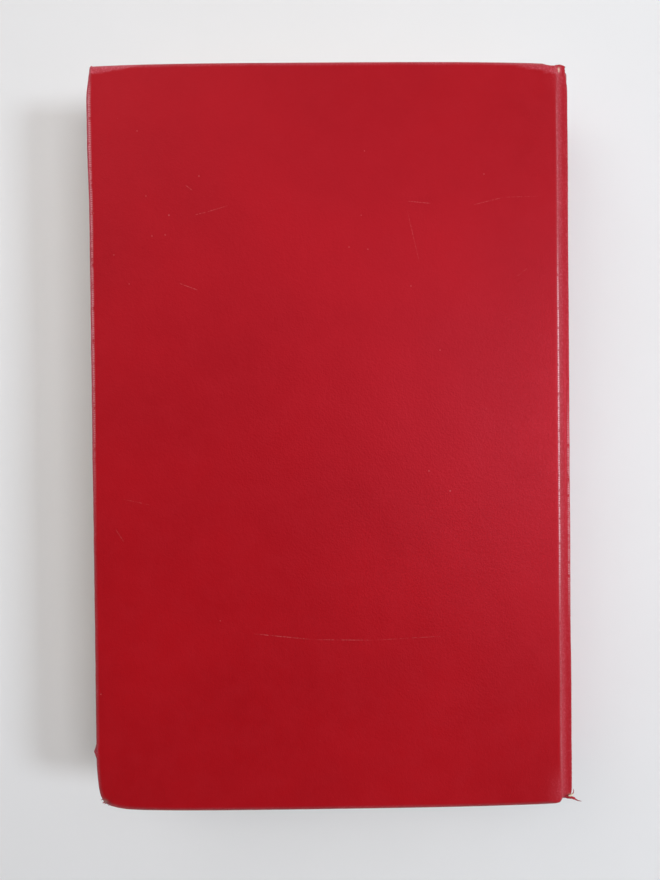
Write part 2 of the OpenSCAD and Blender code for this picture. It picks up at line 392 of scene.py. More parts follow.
    bs.inputs["Sheen Roughness"].default_value = 0.5
    dent = n.noise(p, 60.0, 3.0, 0.5)
    b1 = n.bump(dent, 0.25, 0.0006)
    b2 = n.bump(height, 0.50, 0.00008, b1)
    nt.links.new(b2, bs.inputs["Normal"])
    return m


def paper_material(name, base, edge=False, tint=0.0, coord="rest_co"):
    m, nt, bs = mat(name)
    n = N(nt)
    p = n.attr(coord, "Vector") if coord else n.coord()
    fibre = n.noise(p, 2400.0, 4.0, 0.65)
    cloud = n.noise(p, 42.0, 4.0, 0.55)
    col = n.mix(n.range(cloud, 0.35, 0.7), tuple(c * 0.95 for c in base), tuple(min(1, c * 1.03) for c in base))
    col = n.mix(n.range(fibre, 0.35, 0.75, 0.0, 0.12), col, tuple(c * 0.82 for c in base))
    if edge:
        # cut edges: each leaf a little different, and yellowed by age towards the outside
        strip = n.noise(n.scalev(p, (0.012, 0.012, 1.0)), 9000.0, 2.0, 0.7)
        wide = n.noise(n.scalev(p, (0.05, 0.05, 1.0)), 1400.0, 3.0, 0.6)
        age = n.attr("edge")
        col = n.mix(n.math("MULTIPLY", n.range(strip, 0.40, 0.66, 0.0, 0.36), age), col, tuple(c * k for c, k in zip(base, (0.62, 0.55, 0.44))))
        col = n.mix(n.math("MULTIPLY", n.range(wide, 0.45, 0.7, 0.0, 0.32), age), col, tuple(c * k for c, k in zip(base, (0.80, 0.72, 0.58))))
        col = n.mix(n.math("MULTIPLY", age, 0.50), col, tuple(c * k for c, k in zip(base, (0.84, 0.72, 0.52))))
        spots = n.range(n.voronoi(p, 190.0, "F1"), 0.05, 0.12, 0.55, 0.0)
        spots = n.math("MULTIPLY", spots, n.range(cloud, 0.50, 0.62))
        col = n.mix(n.math("MULTIPLY", spots, age), col, (0.42, 0.26, 0.12))
    nt.links.new(col, bs.inputs["Base Color"])
    bs.inputs["Specular IOR Level"].default_value = 0.2
    nt.links.new(n.range(fibre, 0.3, 0.8, 0.78, 0.9), bs.inputs["Roughness"])
    wave = n.noise(p, 38.0, 2.0, 0.5)
    b1 = n.bump(wave, 0.18, 0.0012)
    nt.links.new(n.bump(fibre, 0.25, 0.00003, b1), bs.inputs["Normal"])
    return m


def board_material(name, base, coord="rest_co"):
    m, nt, bs = mat(name)
    n = N(nt)
    p = n.attr(coord, "Vector") if coord else n.coord()
    ply = n.noise(n.scalev(p, (0.06, 0.06, 1.0)), 5200.0, 3.0, 0.7)
    fleck = n.noise(p, 1700.0, 4.0, 0.7)
    col = n.mix(n.range(fleck, 0.4, 0.72), base, tuple(c * 0.72 for c in base))
    col = n.mix(n.range(ply, 0.45, 0.7, 0.0, 0.5), col, tuple(c * 0.6 for c in base))
    nt.links.new(col, bs.inputs["Base Color"])
    nt.links.new(n.range(fleck, 0.3, 0.8, 0.8, 0.95), bs.inputs["Roughness"])
    bs.inputs["Specular IOR Level"].default_value = 0.2
    nt.links.new(n.bump(n.math("ADD", ply, fleck), 0.5, 0.00012), bs.inputs["Normal"])
    return m


def weave_material(name, base, size, coord="rest_co", holes=0.0):
    """Plain woven material: threads of the given pitch in metres, over and under."""
    m, nt, bs = mat(name)
    n = N(nt)
    p = n.attr(coord, "Vector") if coord else n.coord()
    x, y, z = n.xyz(p)
    k = 2 * math.pi / size
    wob = n.math("MULTIPLY", n.noise(p, 500.0, 2.0), 1.6)
    a = n.math("SINE", n.math("ADD", n.math("MULTIPLY", x, k), wob))
    b = n.math("SINE", n.math("ADD", n.math("MULTIPLY", y, k), wob))
    up = n.math("MULTIPLY", a, b)
    fuzz = n.noise(p, 5200.0, 3.0)
    h = n.math("ADD", n.math("MULTIPLY", up, 0.5), n.math("MULTIPLY", fuzz, 0.6))
    col = n.mix(n.range(h, -0.2, 0.8), tuple(c * (0.55 - holes * 0.2) for c in base), base)
    nt.links.new(col, bs.inputs["Base Color"])
    nt.links.new(n.range(fuzz, 0.3, 0.7, 0.75, 0.92), bs.inputs["Roughness"])
    bs.inputs["Specular IOR Level"].default_value = 0.25
    nt.links.new(n.bump(h, 0.7, size * 0.12), bs.inputs["Normal"])
    return m


def glue_material(name):
    m, nt, bs = mat(name)
    n = N(nt)
    p = n.coord()
    a = n.noise(p, 300.0, 4.0, 0.6)
    nt.links.new(n.mix(n.range(a, 0.35, 0.7), (0.78, 0.70, 0.48), (0.62, 0.50, 0.28)), bs.inputs["Base Color"])
    nt.links.new(n.range(a, 0.3, 0.7, 0.25, 0.5), bs.inputs["Roughness"])
    nt.links.new(n.bump(a, 0.6, 0.0002), bs.inputs["Normal"])
    return m


def band_material(name, colours):
    """Worked silk or cotton: tight windings round a core, in short runs of two colours."""
    m, nt, bs = mat(name)
    n = N(nt)
    s = n.attr("run")
    w = n.math("SINE", n.math("MULTIPLY", s, 2 * math.pi / 0.00042))
    stripe = n.math("SINE", n.math("MULTIPLY", s, 2 * math.pi / 0.0034))
    col = n.mix(n.range(stripe, -0.15, 0.15), colours[0], colours[1])
    col = n.mix(n.range(w, -1.0, 0.2, 0.55, 0.0), col, tuple(c * 0.4 for c in colours[0]))
    nt.links.new(col, bs.inputs["Base Color"])
    p = n.attr("rest_co", "Vector")
    fz = n.noise(p, 6000.0, 2.0)
    nt.links.new(n.range(fz, 0.3, 0.7, 0.45, 0.65), bs.inputs["Roughness"])
    bs.inputs["Sheen Weight"].default_value = 0.2
    nt.links.new(n.bump(n.math("ADD", w, n.math("MULTIPLY", fz, 0.4)), 0.6, 0.00006), bs.inputs["Normal"])
    return m


M_CLOTH = cloth_material("cloth_outer")
M_CLOTH2 = cloth_material("cloth_plain", scratches=False)
M_LEAF = paper_material("leaf_paper", (0.86, 0.80, 0.68), edge=True)
M_END = paper_material("endpaper", (0.88, 0.84, 0.75))
M_BOARD = board_material("binders_board", (0.52, 0.45, 0.33))
M_CARD = board_material("spine_card", (0.78, 0.69, 0.52))
M_KRAFT = board_material("kraft", (0.46, 0.31, 0.18), None)
M_MULL = weave_material("mull_gauze", (0.80, 0.76, 0.65), 0.0011, None, 0.6)
M_THREAD = weave_material("thread", (0.86, 0.83, 0.75), 0.0003, None)
M_GLUE = glue_material("spine_adhesive")
M_BAND = band_material("worked_band", ((0.80, 0.74, 0.62), (0.42, 0.015, 0.03)))


# ------------------------------------------------------------------ mesh helpers
def build(name, verts, faces, material, smooth=True, attrs=None, flip=False, uniform=None):
    """A mesh from points in mm. rest_co keeps each point's place at rest for the materials."""
    v = np.asarray(verts, float) / 1000
    me = bpy.data.meshes.new(name)
    if flip:
        faces = [tuple(reversed(f)) for f in faces]
    me.from_pydata(v.tolist(), [], faces)
    me.update()
    a = me.attributes.new("rest_co", "FLOAT_VECTOR", "POINT")
    a.data.foreach_set("vector", v.astype(np.float32).ravel())
    for k, val in (attrs or {}).items():
        at = me.attributes.new(k, "FLOAT", "POINT")
        at.data.foreach_set("value", np.asarray(val, np.float32).ravel())
    if smooth:
        me.shade_smooth()
    ob = bpy.data.objects.new(name, me)
    bpy.context.scene.collection.objects.link(ob)
    me.materials.append(material)
    return ob


def shell_faces(S, T, base_p=0, base_q=None):
    """Faces of a closed shell: outer grid S x T, inner grid the same, joined round the border."""
    if base_q is None:
        base_q = base_p + S * T
    P = base_p + np.arange(S * T).reshape(S, T)
    Q = base_q + np.arange(S * T).reshape(S, T)
    f = []
    for G, rev in ((P, False), (Q, True)):
        a, b, c, d = G[:-1, :-1], G[1:, :-1], G[1:, 1:], G[:-1, 1:]
        quads = np.stack([a, b, c, d], -1).reshape(-1, 4)
        if rev:
            quads = quads[:, ::-1]
        f += [tuple(int(i) for i in r) for r in quads]
    ring_p = np.concatenate([P[:, 0], P[-1, 1:], P[-2::-1, -1], P[0, -2:0:-1]])
    ring_q = np.concatenate([Q[:, 0], Q[-1, 1:], Q[-2::-1, -1], Q[0, -2:0:-1]])
    for i in range(len(ring_p)):
        j = (i + 1) % len(ring_p)
        f.append((int(ring_p[i]), int(ring_q[i]), int(ring_q[j]), int(ring_p[j])))
    return f


# ------------------------------------------------------------------ the cover's plan outline
def head_y(x):
    u = (x + 3.5) / 69.5
    return HY - 0.80 * np.abs(u) ** 3.4


def tail_y(x):
    u = (x + 3.5) / 69.5
    return -(HY - 0.72 * np.abs(u) ** 3.0)


def head_end(x, back=True):
    """Where a column of the covering ends at the head, with the fore-edge corner's rounding."""
    b = x - X0
    r = 0.55 if back else 1.6
    cut = np.where(b < r, r - np.sqrt(np.clip(r * r - (r - b) ** 2, 0, None)), 0)
    nib = 0.28 * np.exp(-((b - 0.75) / 0.4) ** 2) if back else 0.0
    return head_y(x) - cut + nib


def tail_end(x, back=True):
    b = x - X0
    if back:
        # knocked corner: rounded off, and fanned out a little along the fore-edge
        cut = np.interp(b, [0, .12, .3, .5, .84, 1.2, 1.7, 2.45, 3.2, 4.2, 6, 9, 14, 24],
                        [13.5, 11.6, 9.4, 7.1, 5.3, 4.0, 3.0, 2.05, 1.70, 1.28, .78, .34, .12, 0])
    else:
        r = 2.2
        cut = np.where(b < r, r - np.sqrt(np.clip(r * r - (r - b) ** 2, 0, None)), 0)
    return tail_y(x) + cut


def nodes_along(length, r, fine=0.42, mid=1.25, coarse=2.7, steps=7):
    """Distances from one end: a quarter round of radius r, then steps that widen."""
    phi = np.linspace(0, math.pi / 2, steps)
    a = list(r * (1 - np.cos(phi)))
    p = a[-1]
    while p < 4.6:
        p += fine
        a.append(p)
    while p < 20:
        p += mid
        a.append(p)
    n = max(2, int(round((length - p) / coarse)))
    return np.array(a), p, n


def y_nodes(r=1.2):
    a, p, _ = nodes_along(HY, r)
    n = int(round((2 * HY - 2 * p) / 2.7))
    mid = np.linspace(p, 2 * HY - p, n + 1)[1:-1]
    full = np.concatenate([a, mid, (2 * HY - a)[::-1]])
    return full, a  # distances from the tail end on a column of full height


def outline_distance(px, py, back=True):
    """Distance from points to the free outline of the cover (fore-edge, head and tail)."""
    xs = np.concatenate([X0 + np.linspace(0, 3, 40), np.linspace(X0 + 3.2, XB + 8, 60)])
    hd = np.stack([xs, head_end(xs, back)], 1)
    tl = np.stack([xs, tail_end(xs, back)], 1)
    fe_y = np.linspace(tl[0, 1], hd[0, 1], 60)
    fe = np.stack([np.full(60, X0), fe_y], 1)
    out = np.full(px.shape, 1e9)
    for line in (hd, tl, fe):
        for a, b in zip(line[:-1], line[1:]):
            d = b - a
            L = d @ d
            if L < 1e-12:
                continue
            t = np.clip(((px - a[0]) * d[0] + (py - a[1]) * d[1]) / L, 0, 1)
            out = np.minimum(out, np.hypot(px - a[0] - t * d[0], py - a[1] - t * d[1]))
    return out


# ------------------------------------------------------------------ cross-section of the covering, fore-edge to spine
R_EDGE = 1.15
CAM = (-4.04, 1.09, 229.53)        # the outline was measured from here
SHX = 69.88                       # outside of the spine's shoulder


def catmull(pts, n):
    """n points on a smooth curve through pts, evenly spread along it."""
    pts = np.asarray(pts, float)
    ext = np.vstack([2 * pts[0] - pts[1], pts, 2 * pts[-1] - pts[-2]])
    out = []
    for i in range(1, len(ext) - 2):
        p0, p1, p2, p3 = ext[i - 1:i + 3]
        for t in np.linspace(0, 1, 24, endpoint=False):
            out.append(0.5 * (2 * p1 + (p2 - p0) * t + (2 * p0 - 5 * p1 + 4 * p2 - p3) * t * t + (3 * p1 - p0 - 3 * p2 + p3) * t ** 3))
    out.append(ext[-2])
    out = np.array(out)
    s = np.concatenate([[0], np.cumsum(np.linalg.norm(np.diff(out, axis=0), axis=1))])
    u = np.linspace(0, s[-1], n)
    return np.stack([np.interp(u, s, out[:, k]) for k in range(out.shape[1])], 1)


# outer face: ridge of the board, groove, shoulder.  Third and fourth columns: the inner face beside it
JOINT = [
    (64.20, 33.00, 64.20, 29.90), (65.00, 32.99, 64.85, 29.90), (65.52, 32.91, 65.30, 29.92), (65.92, 32.70, 65.65, 29.98),
    (66.28, 32.38, 66.00, 30.15), (66.68, 32.00, 66.35, 30.42), (67.14, 31.66, 66.78, 30.66), (67.66, 31.38, 67.34, 30.66),
    (68.16, 31.18, 67.98, 30.50), (68.62, 31.10, 68.46, 30.42), (69.00, 31.16, 68.75, 30.45), (69.32, 31.24, 68.95, 30.45),
    (69.60, 31.16, 69.10, 30.30), (69.78, 30.86, 69.20, 29.95), (69.85, 30.40, 69.20, 29.50), (SHX, 29.90, 69.16, 29.20),
]
SAG = 72.93 - SHX
HALF = 29.5 - 16.5
RO = (HALF ** 2 + SAG ** 2) / (2 * SAG)
CXO = 72.93 - RO


def half_section():
    """Outer and inner x-z points from the fore-edge to the middle of the spine, for the back cover's side."""
    a, p, _ = nodes_along(1, R_EDGE)
    board = np.concatenate([a, np.linspace(p, 64.2 - X0, int(round((64.2 - X0 - p) / 2.7)) + 1)[1:-1]])
    bx = X0 + board
    out_b = np.stack([bx, np.full_like(bx, TOP)], 1)
    in_b = np.stack([bx, np.full_like(bx, ZIN)], 1)
    j = catmull(JOINT, 30)
    ang = np.concatenate([np.linspace(math.asin(HALF / RO), 0, 19)[1:-1], [0.018, 0.008, 0.003, 0.0]])
    out_s = np.stack([CXO + RO * np.cos(ang), MIDZ + RO * np.sin(ang)], 1)
    tk = np.interp(ang, [0, ang[0] * 0.8, ang[0]], [1.0, 0.95, 0.62])
    in_s = np.stack([CXO + (RO - tk) * np.cos(ang), MIDZ + (RO - tk) * np.sin(ang)], 1)
    P = np.vstack([out_b, j[:, :2], out_s])
    Q = np.vstack([in_b, j[:, 2:], in_s])
    return P, Q, len(bx), len(bx) + len(j)


SEC_P, SEC_Q, N_BOARD, N_JOINT = half_section()
YN, YA = y_nodes(R_EDGE)


def case_half(back):
    """The covering cloth over one board, its joint and half of the spine, as one closed skin."""
    P2, Q2 = SEC_P, SEC_Q
    S, T = len(P2), len(YN)
    si = np.arange(S)
    px, pz = P2[:, 0], P2[:, 1]
    # ends of each column
    in_board = si < N_BOARD
    ye_h = np.where(in_board, head_end(np.minimum(px, 64.2), back), 0)
    ye_t = np.where(in_board, tail_end(np.minimum(px, 64.2), back), 0)
    path = np.concatenate([[0], np.cumsum(np.hypot(np.diff(px), np.diff(pz)))])
    # past the board the cloth ends on the spine's own outline
    d = path - path[N_BOARD]
    if back:
        hp = np.interp(d, [0, 1.3, 1.9, 2.5, 3.4, 4.4, 5.2, 5.8, 6.6, 9.0, 20], [110.25, 110.25, 110.40, 110.50, 110.10, 109.75, 109.80, 109.6, 109.4, 109.4, 109.6])
        tp = -np.interp(d, [0, 0.9, 1.3, 1.9, 2.6, 3.4, 4.4, 5.2, 5.8, 6.6, 9.0, 14, 20], [110.1, 109.95, 109.85, 109.2, 108.8, 108.6, 108.75, 108.9, 108.7, 108.5, 108.9, 109.4, 109.6])
    else:
        hp = np.interp(d, [0, 3, 6, 9, 20], [110.2, 110.2, 109.9, 109.6, 109.6])
        tp = -np.interp(d, [0, 3, 6, 9, 20], [110.3, 110.2, 110.0, 109.6, 109.6])
    # edge radius, thick over the board and thin over the joint
    thick = np.hypot(P2[:, 0] - Q2[:, 0], P2[:, 1] - Q2[:, 1])
    rr = np.where(in_board, R_EDGE, np.clip(thick * 0.46, 0.16, R_EDGE))
    rr = np.where(in_board, rr, np.minimum(rr, np.interp(d, [0, 1.0, 1.8, 3.0], [R_EDGE, 0.8, 0.35, 0.22]) + np.interp(d, [5, 9], [0, 0.25])))
    far = np.clip((CAM[2] - pz + rr) / (CAM[2] - TOP), 1.0, 1.012)
    hp, tp = CAM[1] + (hp - CAM[1]) * far, CAM[1] + (tp - CAM[1]) * far
    ye_h = np.where(in_board, ye_h, hp)
    ye_t = np.where(in_board, ye_t, tp)
    # y of each node: same spacing at the ends, stretched between
    A = len(YA)
    L = YN[-1]
    Y = np.empty((S, T))
    for s in range(S):
        k = rr[s] / R_EDGE
        lo, hi = ye_t[s], ye_h[s]
        ds = YN.copy()
        m = (ds > 0) & (ds < 20)
        y = lo + ds / L * (hi - lo)
        # keep true distances near both ends
        near = np.arange(T)
        e = np.where(ds <= R_EDGE + 1e-9, ds * k, ds + (k - 1) * R_EDGE * (1 - sm((ds - R_EDGE) / 5)))
        e2 = np.where(L - ds <= R_EDGE + 1e-9, (L - ds) * k, (L - ds) + (k - 1) * R_EDGE * (1 - sm((L - ds - R_EDGE) / 5)))
        w1 = 1 - sm((ds - 6) / 40)
        w2 = 1 - sm((L - ds - 6) / 40)
        y = y * (1 - w1 - w2) + (lo + e) * w1 + (hi - e2) * w2
        Y[s] = y
    X = np.repeat(px[:, None], T, 1)
    Z = np.repeat(pz[:, None], T, 1)
    XI = np.repeat(Q2[:, 0][:, None], T, 1)
    ZI = np.repeat(Q2[:, 1][:, None], T, 1)
    # outward normal of the section
    tx, tz = np.gradient(px), np.gradient(pz)
    ln = np.hypot(tx, tz)
    nx, nz = -tz / ln, tx / ln
    # distance to the free outline
    B = np.empty((S, T))
    bd = outline_distance(X[:N_BOARD], Y[:N_BOARD], back)
    B[:N_BOARD] = bd
    ends = np.minimum(Y - ye_t[:, None], ye_h[:, None] - Y)
    B[N_BOARD:] = ends[N_BOARD:]
    R = np.repeat(rr[:, None], T, 1)
    q = np.clip(B, 0, None)
    depth = np.where(q < R, R - np.sqrt(np.clip(R * R - (R - q) ** 2, 0, None)), 0)
    # soft, handled boards: slight waves, more towards the edges
    wav = 0.10 * fbm(X, Y, 3.1 if back else 9.4, 34) + 0.03 * fbm(X, Y, 1.7, 7)
    wav *= np.where(np.arange(S)[:, None] < N_JOINT, 1.0, 0.4)
    if back:
        wav -= 0.05
    drop = np.zeros((S, T))
    bh = ye_h[:, None] - Y
    bt = Y - ye_t[:, None]
    if back:
        # crushed head corner at the fore-edge
        w = 2.7 * np.clip(1 - (X - X0) / 17.0, 0, 1) ** 0.85 * (1 + 0.12 * fbm(X, 0 * X, 5.0, 2.2))
        drop += 0.42 * np.clip(w - bh, 0, None) * (X < X0 + 17)
        # crushed head corner at the joint, jagged
        w = 3.5 * np.clip(1 - (66.2 - X) / 17.5, 0, 1) ** 1.25 * (1 + 0.30 * fbm(X, 0 * X, 2.0, 1.9))
        drop += 0.36 * np.clip(w - bh, 0, None) * (X > 48) * (1 - sm((X - 66.4) / 1.2))
        # knocked tail corner at the fore-edge
        cr = np.hypot((X - X0) * 1.0, (Y + HY) * 0.8)
        drop += 0.55 * (1 - sm(cr / 9.5)) + 0.10 * (1 - sm(cr / 14)) * fbm(X, Y, 0.4, 2.4)
        # cloth sunk and torn at the tail of the joint
        drop += 0.35 * sm((X - 65.6) / 1.5) * (1 - sm(bt / 2.2)) * (X < 69.9)
    else:
        cr = np.hypot(X - X0, Y - HY)
        drop += 0.3 * (1 - sm(cr / 6))
    # head and tail of the joint pressed in against the shoulder
    nd = depth - wav * sm(B / 2.5)
    XO = X - nx[:, None] * nd
    ZO = Z - nz[:, None] * nd - drop
    # the spine's corners slope in
    side = sm((ZO - 26.0) / 3.5)
    XO -= 0.85 * sm((X - 67.8) / 1.3) * (1 - sm(bh / 7.5)) * side
    XO -= 0.40 * sm((X - 68.6) / 1.0) * (1 - sm(bt / 3.0)) * side
    # fore-edge: the cloth stands off the board a little near the head
    fe = (1 - sm((X - X0) / 2.2))
    XO -= fe * (0.42 * sm((Y - 66) / 22) - 1.0 * sm((Y - 101) / 9.5) if back else 0.0)
    XO += fe * 0.06 * fbm(0 * X, Y, 2.2, 6)
    XO -= fe * (0.75 * np.exp(-((Y + 92.6) / 1.15) ** 2) * (1 + 0.4 * fbm(X, Y, 6.0, 0.8)) if back else 0.0)
    board_rows = np.arange(S)[:, None] < N_BOARD
    low = np.clip(TOP - ZO, 0, 1.7) * board_rows
    grow = 1 + low / (CAM[2] - TOP)
    XO, YO = CAM[0] + (XO - CAM[0]) * grow, CAM[1] + (Y - CAM[1]) * grow
    # inner face: turned-in cloth, same rounding from inside
    qi = np.where(q < R, R - np.sqrt(np.clip(R * R - (R - q) ** 2, 0, None)), 0)
    ix, iz = np.gradient(Q2[:, 0]), np.gradient(Q2[:, 1])
    il = np.hypot(ix, iz) + 1e-9
    mx, mz = -iz / il, ix / il
    XJ = XI + mx[:, None] * (qi * 0.98)
    ZJ = ZI + mz[:, None] * (qi * 0.98)
    # keep the inner skin under the outer one where the corner is crushed
    ZJ = np.where(np.arange(S)[:, None] < N_BOARD, np.minimum(ZJ, ZO - 0.25), ZJ)
    XJ = XJ + (XO - X) * fe
    rim = 1 + R_EDGE * (1 - sm(B / 3.0)) * board_rows / (CAM[2] - TOP)
    XJ, YJ = np.where(fe > 0, XJ, CAM[0] + (XJ - CAM[0]) * rim), CAM[1] + (Y - CAM[1]) * rim
    if not back:
        ZO, ZJ = TOP - ZO, TOP - ZJ
    outer = np.stack([XO, YO, ZO], -1).reshape(-1, 3)
    inner = np.stack([XJ, YJ, ZJ], -1).reshape(-1, 3)
    v = np.vstack([outer, inner])
    # wear with painted highlight, painted glints, bare board and darkening, worked out from where each point is
    Yf, Xf = Y, X
    # painted highlight on the board's ridge and the slope of the joint, strongest in the middle; painted shade in the
    # groove's valley and a painted light line on the shoulder
    ridge = sm((X - 65.2) / 0.9) * (1 - 0.50 * sm((X - 67.0) / 1.4))
    ridge *= 0.8 + 0.2 * sm((Y + 40) / 60) * sm((90 - Y) / 40)
    # fore-edge crest rubbed pale, and painted lighter over the head half where it catches the light
    wear_and_highlight = np.where(Y > 0, 0.50, 0.22) * np.exp(-((B - 0.45) / 0.35) ** 2) * (np.arange(S)[:, None] < N_BOARD)
    wear_and_highlight *= 0.55 + 0.45 * sm((fbm(X, Y, 7.7, 11) + 0.25) / 0.5)
    painted_groove_shade = 1 - 0.45 * np.exp(-((X - 68.3) / 0.45) ** 2) + 0.25 * np.exp(-((X - 69.3) / 0.3) ** 2)
    wear_and_highlight = np.maximum(wear_and_highlight, 0.60 * ridge * painted_groove_shade * (np.arange(S)[:, None] < N_JOINT))
    painted_glints = np.zeros((S, T))
    if back:
        # painted highlight: glints along the fore-edge crest, the board's ridge and the shoulder, strongest towards the
        # head and the middle where they catch the light
        painted_glints = np.maximum(painted_glints, np.exp(-((X - X0 - 0.70) / 0.13) ** 2) * (0.05 + 0.95 * sm((Y + 30) / 60)) * sm((HY - 4 - Y) / 6))
        painted_glints = np.maximum(painted_glints, np.exp(-((X - 65.92) / 0.24) ** 2) * (0.12 + 0.88 * sm((Y + 62) / 40) * sm((64 - Y) / 30)) * sm((HY - 6 - np.abs(Y)) / 10))
        painted_glints = np.maximum(painted_glints, 0.5 * np.exp(-((X - 69.2) / 0.22) ** 2) * sm((Y + 60) / 20) * sm((16 - Y) / 20))
        # rubbed pale and painted lighter where the crushed corners tilt towards the light, with a sharp crease along
        # the inner side
        w1 = 2.5 * np.clip(1 - (X - X0) / 17.0, 0, 1) ** 0.85 * (1 + 0.12 * fbm(X, 0 * X, 5.0, 2.2)) * (X < X0 + 17)
        wear_and_highlight = np.maximum(wear_and_highlight, 0.85 * sm((w1 - bh) / 0.22 + 0.5) * sm(w1 / 0.6))
        w2 = 3.3 * np.clip(1 - (66.2 - X) / 17.5, 0, 1) ** 1.25 * (1 + 0.30 * fbm(X, 0 * X, 2.0, 1.9)) * (X > 48) * (1 - sm((X - 67.5) / 1.5))
        w2 += 0.35 * fbm(X * 2.0, Y, 8.0, 1.2) * (w2 > 0.4)
        wear_and_highlight = np.maximum(wear_and_highlight, 0.62 * sm((w2 - bh) / 0.25 + 0.5) * sm(w2 / 0.6) * (0.65 + 0.5 * sm((bh - 0.5) / 1.2)))
        wear_and_highlight = np.maximum(wear_and_highlight, 1.0 * np.exp(-((Y + 92.4) / 1.3) ** 2) * (1 - sm((X - X0 - 0.5) / 0.5)))
        # fore-edge rim rubbed pale, and painted lighter towards the head where it catches the light
        wear_and_highlight = np.maximum(wear_and_highlight, (0.16 + 0.74 * sm((Y + 62) / 90)) * (1 - sm((X - X0 - 0.30) / 0.6)))
    if back:
        wear_and_highlight = np.maximum(wear_and_highlight, 0.42 * np.exp(-((X - 66.6) / 3.2) ** 2 - ((bt - 3.5) / 5.5) ** 2))
        wear_and_highlight = np.maximum(wear_and_highlight, 0.40 * np.exp(-((X - 67.4) / 2.2) ** 2 - ((bh - 3.0) / 5.0) ** 2))
    bare = np.zeros((S, T))
    darkening = np.zeros((S, T))
    if back:
        bare = np.maximum(bare, 0.8 * np.exp(-(((X - 67.0) / 0.3) ** 2 + ((Y - 109.2) / 0.7) ** 2)))
        bare = np.maximum(bare, np.exp(-(((X - 68.9) / 0.6) ** 2 + ((Y + 109.2) / 0.5) ** 2)))
        bare = np.maximum(bare, 0.6 * np.exp(-(((X + 70.6) / 0.6) ** 2 + ((Y + 107.9) / 0.5) ** 2)))
        # darker at the knocked tail corner, along the tail of the joint and along the tail edge
        darkening = np.maximum(darkening, 0.9 * (1 - sm(np.hypot(X + 70.2, Y + 108.2) / 2.4)))
        darkening = np.maximum(darkening, 0.8 * (1 - sm(bt / 1.0)) * (X > 66))
        darkening = np.maximum(darkening, 0.35 * (1 - sm(bt / 1.1)) * (X < 66))
    zero = np.zeros((S, T))
    at = {k: np.concatenate([a.ravel(), (b if b is not None else zero).ravel()]) for k, a, b in
          (("wear_and_highlight", wear_and_highlight, wear_and_highlight * 0.6), ("painted_glints", painted_glints, None), ("bare", bare, None), ("darkening", darkening, None))}
    name = "back_covering" if back else "front_covering"
    ob = build(name, v, shell_faces(S, T), M_CLOTH if back else M_CLOTH2, attrs=at, flip=not back)
    zs = np.abs(v[:, 2] - MIDZ) < 1e-5
    for e in ob.data.edges:
        if zs[e.vertices[0]] and zs[e.vertices[1]]:
            e.use_edge_sharp = True
    return ob


back_case = case_half(True)
front_case = case_half(False)
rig.replaces(back_case, "back_cover_cloth", "back_joint_cloth", "spine_cloth")
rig.replaces(front_case, "front_cover_cloth", "front_joint_cloth")
for ob, body, s in ((back_case, "back_cover", 1), (front_case, "front_cover", -1)):
    z = lambda v: (v if s > 0 else TOP - v) / 1000
    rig.blend(ob, "text_block", body, start=(0.0690, 0, z(29.3)), end=(0.0662, 0, z(30.1)))
    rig.slot(ob, "cover_cloth")


# ------------------------------------------------------------------ torn and frayed ends of the cloth
def ribbon(name, pts, widths, body, material, th=0.12, attrs=None, seed=1):
    """A thin tapering strip of cloth through the points."""
    c = catmull(pts, 22)
    w = np.interp(np.linspace(0, 1, 22), np.linspace(0, 1, len(widths)), widths)
    w = w * (1 + 0.25 * fbm(np.arange(22) * 0.9, 0 * w, seed, 2.0))
    t = np.gradient(c, axis=0)
    t /= np.linalg.norm(t, axis=1)[:, None]
    side = np.cross(t, np.array([0, 0, 1.0]))
    side /= np.linalg.norm(side, axis=1)[:, None]
    up = np.cross(side, t)
    nr = 8
    v, f = [], []
    for k in range(22):
        for m in range(nr):
            a = 2 * math.pi * m / nr
            v.append(c[k] + side[k] * w[k] / 2 * math.cos(a) + up[k] * th / 2 * math.sin(a) * min(1, w[k] / th))
    for k in range(21):
        for m in range(nr):
            m2 = (m + 1) % nr
            f.append((k * nr + m, (k + 1) * nr + m, (k + 1) * nr + m2, k * nr + m2))
    f.append(tuple(range(nr)))
    f.append(tuple(21 * nr + m for m in range(nr))[::-1])
    n = len(v)
    at = {k: np.full(n, q) for k, q in (attrs or {}).items()}
    ob = build(name, v, f, material, attrs=at, flip=True)
    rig.ride(ob, body)
    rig.slot(ob, "cover_cloth")
    return ob


